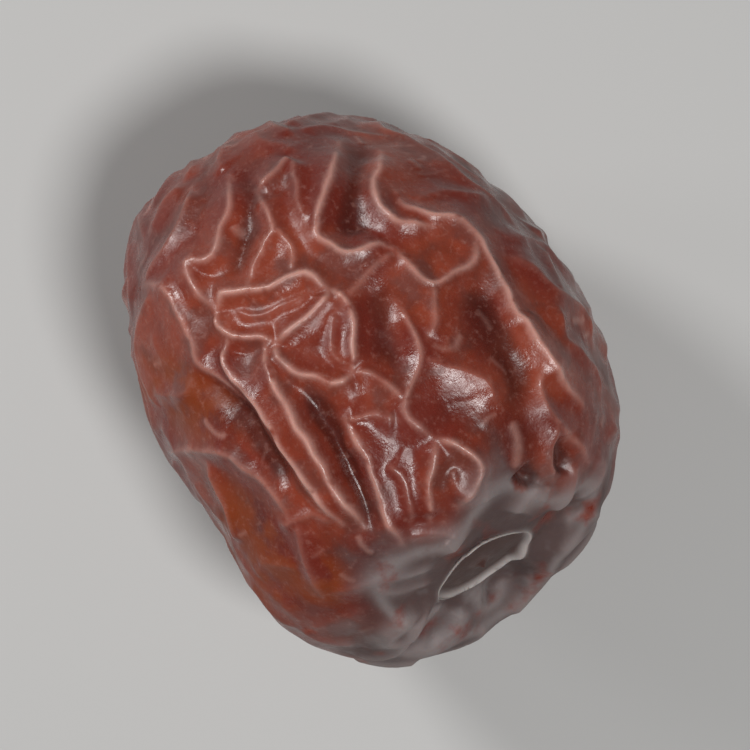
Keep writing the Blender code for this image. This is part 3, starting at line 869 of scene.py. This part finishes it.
def skin_color(nodes, amber, bloom):
    """Mottled red with painted shade in the valleys, amber flesh, light crest lines that are partly painted
    highlight, grey bloom and the scar.
    """
    color = nodes.mix(nodes.pattern(WARM_MOTTLE), RED, RED_WARM)
    color = nodes.cover(color, nodes.pattern(BROWN_PATCHES), BROWN_SHARE, RED_BROWN)
    # Painted shade: the valleys are darkened towards deep red
    color = nodes.cover(color, nodes.span(nodes.mask("relief"), *VALLEY_SHADE_RELIEF), VALLEY_SHADE_SHARE, RED_PAINTED_SHADE)
    color = nodes.cover(color, amber, AMBER_SHARE, AMBER)
    color = nodes.cover(color, nodes.pattern(DUST), DUST_SHARE, PINK_DUST_AND_HIGHLIGHT)
    # The crest lines, strong and fine: partly paler worn skin, partly painted highlight
    line = nodes.math("MULTIPLY", nodes.mask("crest"), nodes.pattern(LINE_BREAKS))
    color = nodes.cover(color, line, LINE_SHARE, PINK_DUST_AND_HIGHLIGHT)
    fine_line = nodes.span(nodes.mask("fine_crest"), *FINE_LINE_SPAN)
    color = nodes.cover(color, fine_line, FINE_LINE_SHARE, PINK_DUST_AND_HIGHLIGHT)
    color = nodes.cover(color, bloom, BLOOM_SHARE, bloom_color(nodes))
    color = nodes.cover(color, nodes.mask("scar"), SCAR_SHARE, SCAR_BROWN)
    return nodes.cover(color, nodes.mask("ring"), RING_SHARE, RING_GREY)


def skin_roughness(nodes, amber, bloom):
    """Glossy skin with duller patches, duller still under bloom and over amber flesh."""
    roughness = nodes.math("MULTIPLY_ADD", nodes.pattern(DULL_PATCHES), DULL_ROUGHNESS, ROUGHNESS)
    roughness = nodes.math("MULTIPLY_ADD", bloom, BLOOM_ROUGHNESS, roughness)
    return nodes.math("MULTIPLY_ADD", amber, AMBER_ROUGHNESS, roughness)


def skin_material():
    material = bpy.data.materials.new("dried_skin")
    nodes = Nodes(material)
    shader = nodes.shader
    amber = nodes.math("MULTIPLY", nodes.mask("amber"), nodes.pattern(AMBER_BREAKS))
    bloom = nodes.math("MULTIPLY", nodes.mask("bloom"), nodes.pattern(BLOOM_BREAKS))
    nodes.feed(shader.inputs["Base Color"], skin_color(nodes, amber, bloom))
    nodes.feed(shader.inputs["Roughness"], skin_roughness(nodes, amber, bloom))
    normal = None
    for bump in BUMPS:
        normal = nodes.bump(bump, normal)
    nodes.feed(shader.inputs["Normal"], normal)
    shader.inputs["Subsurface Weight"].default_value = SUBSURFACE
    shader.inputs["Subsurface Radius"].default_value = SUBSURFACE_REACH
    shader.inputs["Subsurface Scale"].default_value = MM
    shader.inputs["Specular IOR Level"].default_value = SPECULAR
    shader.inputs["Sheen Weight"].default_value = SHEEN
    shader.inputs["Sheen Roughness"].default_value = SHEEN_ROUGHNESS
    return material


def make_skin():
    mesh = decimated(fine_skin_mesh())
    fitted(mesh)
    mesh.name = "wrinkled_skin"
    mesh.shade_smooth()
    mesh.materials.clear()
    mesh.materials.append(skin_material())
    skin = bpy.data.objects.new("wrinkled_skin", mesh)
    bpy.context.scene.collection.objects.link(skin)
    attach(skin, "root")
    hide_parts("jujube")
    return skin


def make_floor():
    bpy.ops.mesh.primitive_plane_add(size=FLOOR_SIZE)
    floor = bpy.context.object
    floor.name = "floor"
    material = bpy.data.materials.new("pale_floor")
    shader = Nodes(material).shader
    shader.inputs["Base Color"].default_value = FLOOR_GREY
    shader.inputs["Roughness"].default_value = FLOOR_ROUGHNESS
    floor.data.materials.append(material)


def add_light(name, place, size, power, target):
    light = bpy.data.lights.new(name, "AREA")
    light.shape = "DISK"
    light.size = size
    light.energy = power
    holder = bpy.data.objects.new(name, light)
    holder.location = place
    holder.rotation_euler = (target - place).to_track_quat("-Z", "Y").to_euler()
    bpy.context.scene.collection.objects.link(holder)


def in_view(right, up, height):
    """A place given as in the photograph's view: to the right, up the picture, and above the floor."""
    cos, sin = math.cos(STEM_BEARING), math.sin(STEM_BEARING)
    return Vector((cos * right - sin * up, sin * right + cos * up, height))


def make_lights(middle):
    for name, place, size, power in LAMPS:
        add_light(name, in_view(*place), size, power, middle)
    world = bpy.data.worlds.new("studio")
    world.use_nodes = True
    background = world.node_tree.nodes["Background"]
    background.inputs["Color"].default_value = (1, 1, 1, 1)
    background.inputs["Strength"].default_value = WORLD_LIGHT
    bpy.context.scene.world = world


def make_camera(middle):
    """Straight above the fruit, turned so that its stem end is at the lower right."""
    camera = bpy.data.cameras.new("camera")
    camera.lens = LENS
    camera.sensor_width = SENSOR
    distance = FRAME_WIDTH * MM * LENS / SENSOR
    camera.clip_start = CLIP_START * MM
    holder = bpy.data.objects.new("camera", camera)
    holder.location = Vector((0, 0, middle.z + distance))
    holder.rotation_euler = (0, 0, STEM_BEARING)
    bpy.context.scene.collection.objects.link(holder)
    bpy.context.scene.camera = holder


middle = (cad_box[0] + cad_box[1]) / 2
make_skin()
make_floor()
make_lights(middle)
make_camera(middle)
bpy.context.scene.view_settings.view_transform = "Standard"
